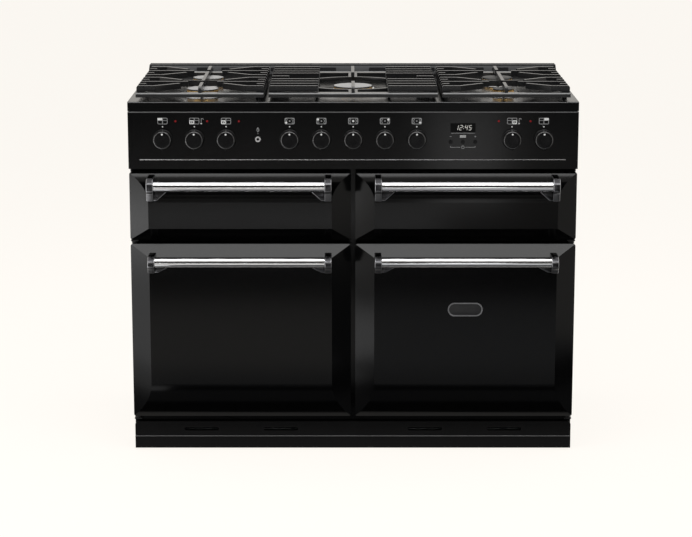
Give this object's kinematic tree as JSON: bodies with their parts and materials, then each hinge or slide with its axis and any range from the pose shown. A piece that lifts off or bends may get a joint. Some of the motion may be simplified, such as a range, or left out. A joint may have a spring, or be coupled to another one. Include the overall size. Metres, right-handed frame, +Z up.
{
  "type": "range cooker",
  "caption": "Free-standing range cooker with a gas hob and pan supports, drop-down upper oven doors, side-hung lower oven doors, bar handles, turning knobs and a plinth.",
  "frame": {"origin": "on the floor, under the middle of the whole object's box, handles included", "axes": "+X towards the cooker's right as seen from in front, +Y towards its back, +Z up"},
  "size_m": [1.1, 0.655, 0.924],
  "materials": {
    "black_enamel": "gloss",
    "casing_paint": "satin",
    "galvanised_sheet": "satin",
    "oven_enamel": "gloss",
    "chrome": "polished",
    "hinge_steel": "satin",
    "cast_iron": "matt enamel",
    "cap_enamel": "matt enamel",
    "brass": "satin",
    "cast_aluminium": "satin",
    "heater_sheath": "heat-darkened",
    "oven_seal": "woven and matt",
    "display_glass": "polished",
    "knob_black": "satin",
    "control_plastic": "matt",
    "black_plastic": "matt"
  },
  "bodies": {
    "root": {"side_panels": "casing_paint", "back_panel": "galvanised_sheet", "base_frame": "galvanised_sheet", "front_frame": "black_enamel", "plinth": "black_enamel", "control_panel": "black_enamel", "clock_window": "display_glass", "control_rail": "galvanised_sheet", "control_bodies": "control_plastic", "gas_pipes": "cast_aluminium", "hob_tray": "black_enamel", "rear_ledge": "black_enamel", "burner_bases": "cast_aluminium", "burner_heads": "brass", "burner_caps": "cap_enamel", "grill_liner": "oven_enamel", "top_oven_liner": "oven_enamel", "main_oven_liners": "oven_enamel", "door_seals": "oven_seal", "oven_shelves": "chrome", "grill_pan": "oven_enamel", "heating_elements": "heater_sheath", "fan_covers": "oven_enamel", "fan_motors": "galvanised_sheet", "door_hinges": "hinge_steel"},
    "grill_door": {"grill_door_skin": "black_enamel", "grill_door_inner": "oven_enamel", "grill_door_handle": "chrome"},
    "top_door": {"top_door_skin": "black_enamel", "top_door_inner": "oven_enamel", "top_door_handle": "chrome"},
    "left_door": {"left_door_skin": "black_enamel", "left_door_inner": "oven_enamel", "left_door_handle": "chrome"},
    "right_door": {"right_door_skin": "black_enamel", "right_door_inner": "oven_enamel", "right_door_handle": "chrome"},
    "knob_1": {"knob_1": "knob_black"},
    "knob_2": {"knob_2": "knob_black"},
    "knob_3": {"knob_3": "knob_black"},
    "knob_4": {"knob_4": "knob_black"},
    "knob_5": {"knob_5": "knob_black"},
    "knob_6": {"knob_6": "knob_black"},
    "knob_7": {"knob_7": "knob_black"},
    "knob_8": {"knob_8": "knob_black"},
    "knob_9": {"knob_9": "knob_black"},
    "knob_10": {"knob_10": "knob_black"},
    "igniter_button": {"igniter_button": "chrome"},
    "timer_button_1": {"timer_button_1": "knob_black"},
    "timer_button_2": {"timer_button_2": "knob_black"},
    "timer_button_3": {"timer_button_3": "knob_black"},
    "pan_support_left": {"pan_support_left": "cast_iron"},
    "pan_support_mid": {"pan_support_mid": "cast_iron"},
    "pan_support_right": {"pan_support_right": "cast_iron"},
    "foot_left": {"foot_left": "black_plastic"},
    "foot_right": {"foot_right": "black_plastic"},
    "roller_left": {"roller_left": "black_plastic"},
    "roller_right": {"roller_right": "black_plastic"},
    "fan_left": {"fan_left": "cast_aluminium"},
    "fan_right": {"fan_right": "cast_aluminium"}
  },
  "joints": [
    {"name": "grill_door_hinge", "type": "hinge", "parent": "root", "child": "grill_door", "pos_m": [-0.27775, -0.2455, 0.563], "axis": [1, 0, 0], "range_deg": [0, 90]},
    {"name": "top_door_hinge", "type": "hinge", "parent": "root", "child": "top_door", "pos_m": [0.27775, -0.2455, 0.563], "axis": [1, 0, 0], "range_deg": [0, 90]},
    {"name": "left_door_hinge", "type": "hinge", "parent": "root", "child": "left_door", "pos_m": [-0.54, -0.2385, 0.3135], "axis": [0, 0, -1], "range_deg": [0, 100]},
    {"name": "right_door_hinge", "type": "hinge", "parent": "root", "child": "right_door", "pos_m": [0.54, -0.2385, 0.3135], "axis": [0, 0, 1], "range_deg": [0, 100]},
    {"name": "knob_1_turn", "type": "hinge", "parent": "root", "child": "knob_1", "pos_m": [-0.465, -0.2605, 0.797], "axis": [0, 1, 0], "range_deg": [0, 250]},
    {"name": "knob_2_turn", "type": "hinge", "parent": "root", "child": "knob_2", "pos_m": [-0.3875, -0.2605, 0.797], "axis": [0, 1, 0], "range_deg": [0, 250]},
    {"name": "knob_3_turn", "type": "hinge", "parent": "root", "child": "knob_3", "pos_m": [-0.31, -0.2605, 0.797], "axis": [0, 1, 0], "range_deg": [0, 250]},
    {"name": "knob_4_turn", "type": "hinge", "parent": "root", "child": "knob_4", "pos_m": [-0.155, -0.2605, 0.797], "axis": [0, -1, 0], "range_deg": [0, 210]},
    {"name": "knob_5_turn", "type": "hinge", "parent": "root", "child": "knob_5", "pos_m": [-0.0775, -0.2605, 0.797], "axis": [0, -1, 0], "range_deg": [0, 210]},
    {"name": "knob_6_turn", "type": "hinge", "parent": "root", "child": "knob_6", "pos_m": [0, -0.2605, 0.797], "axis": [0, -1, 0], "range_deg": [0, 210]},
    {"name": "knob_7_turn", "type": "hinge", "parent": "root", "child": "knob_7", "pos_m": [0.0775, -0.2605, 0.797], "axis": [0, -1, 0], "range_deg": [0, 210]},
    {"name": "knob_8_turn", "type": "hinge", "parent": "root", "child": "knob_8", "pos_m": [0.155, -0.2605, 0.797], "axis": [0, -1, 0], "range_deg": [0, 210]},
    {"name": "knob_9_turn", "type": "hinge", "parent": "root", "child": "knob_9", "pos_m": [0.3875, -0.2605, 0.797], "axis": [0, 1, 0], "range_deg": [0, 250]},
    {"name": "knob_10_turn", "type": "hinge", "parent": "root", "child": "knob_10", "pos_m": [0.465, -0.2605, 0.797], "axis": [0, 1, 0], "range_deg": [0, 250]},
    {"name": "igniter_press", "type": "slide", "parent": "root", "child": "igniter_button", "axis": [0, 1, 0], "range_m": [0, 0.002], "stiffness_N_per_m": 600},
    {"name": "timer_1_press", "type": "slide", "parent": "root", "child": "timer_button_1", "axis": [0, 1, 0], "range_m": [0, 0.0012], "stiffness_N_per_m": 400},
    {"name": "timer_2_press", "type": "slide", "parent": "root", "child": "timer_button_2", "axis": [0, 1, 0], "range_m": [0, 0.0012], "stiffness_N_per_m": 400},
    {"name": "timer_3_press", "type": "slide", "parent": "root", "child": "timer_button_3", "axis": [0, 1, 0], "range_m": [0, 0.0012], "stiffness_N_per_m": 400},
    {"name": "pan_support_left_lift", "type": "slide", "parent": "root", "child": "pan_support_left", "axis": [0, 0, 1], "range_m": [0, 0.06]},
    {"name": "pan_support_mid_lift", "type": "slide", "parent": "root", "child": "pan_support_mid", "axis": [0, 0, 1], "range_m": [0, 0.06]},
    {"name": "pan_support_right_lift", "type": "slide", "parent": "root", "child": "pan_support_right", "axis": [0, 0, 1], "range_m": [0, 0.06]},
    {"name": "foot_left_screw", "type": "slide", "parent": "root", "child": "foot_left", "axis": [0, 0, -1], "range_m": [0, 0.025]},
    {"name": "foot_right_screw", "type": "slide", "parent": "root", "child": "foot_right", "axis": [0, 0, -1], "range_m": [0, 0.025]},
    {"name": "roller_left_spin", "type": "hinge", "parent": "root", "child": "roller_left", "pos_m": [-0.47, 0.2675, 0.02], "axis": [1, 0, 0], "continuous": true},
    {"name": "roller_right_spin", "type": "hinge", "parent": "root", "child": "roller_right", "pos_m": [0.47, 0.2675, 0.02], "axis": [1, 0, 0], "continuous": true},
    {"name": "fan_left_spin", "type": "hinge", "parent": "root", "child": "fan_left", "pos_m": [-0.27775, 0.1805, 0.3308], "axis": [0, 1, 0], "continuous": true},
    {"name": "fan_right_spin", "type": "hinge", "parent": "root", "child": "fan_right", "pos_m": [0.27775, 0.1805, 0.3308], "axis": [0, 1, 0], "continuous": true}
  ]
}
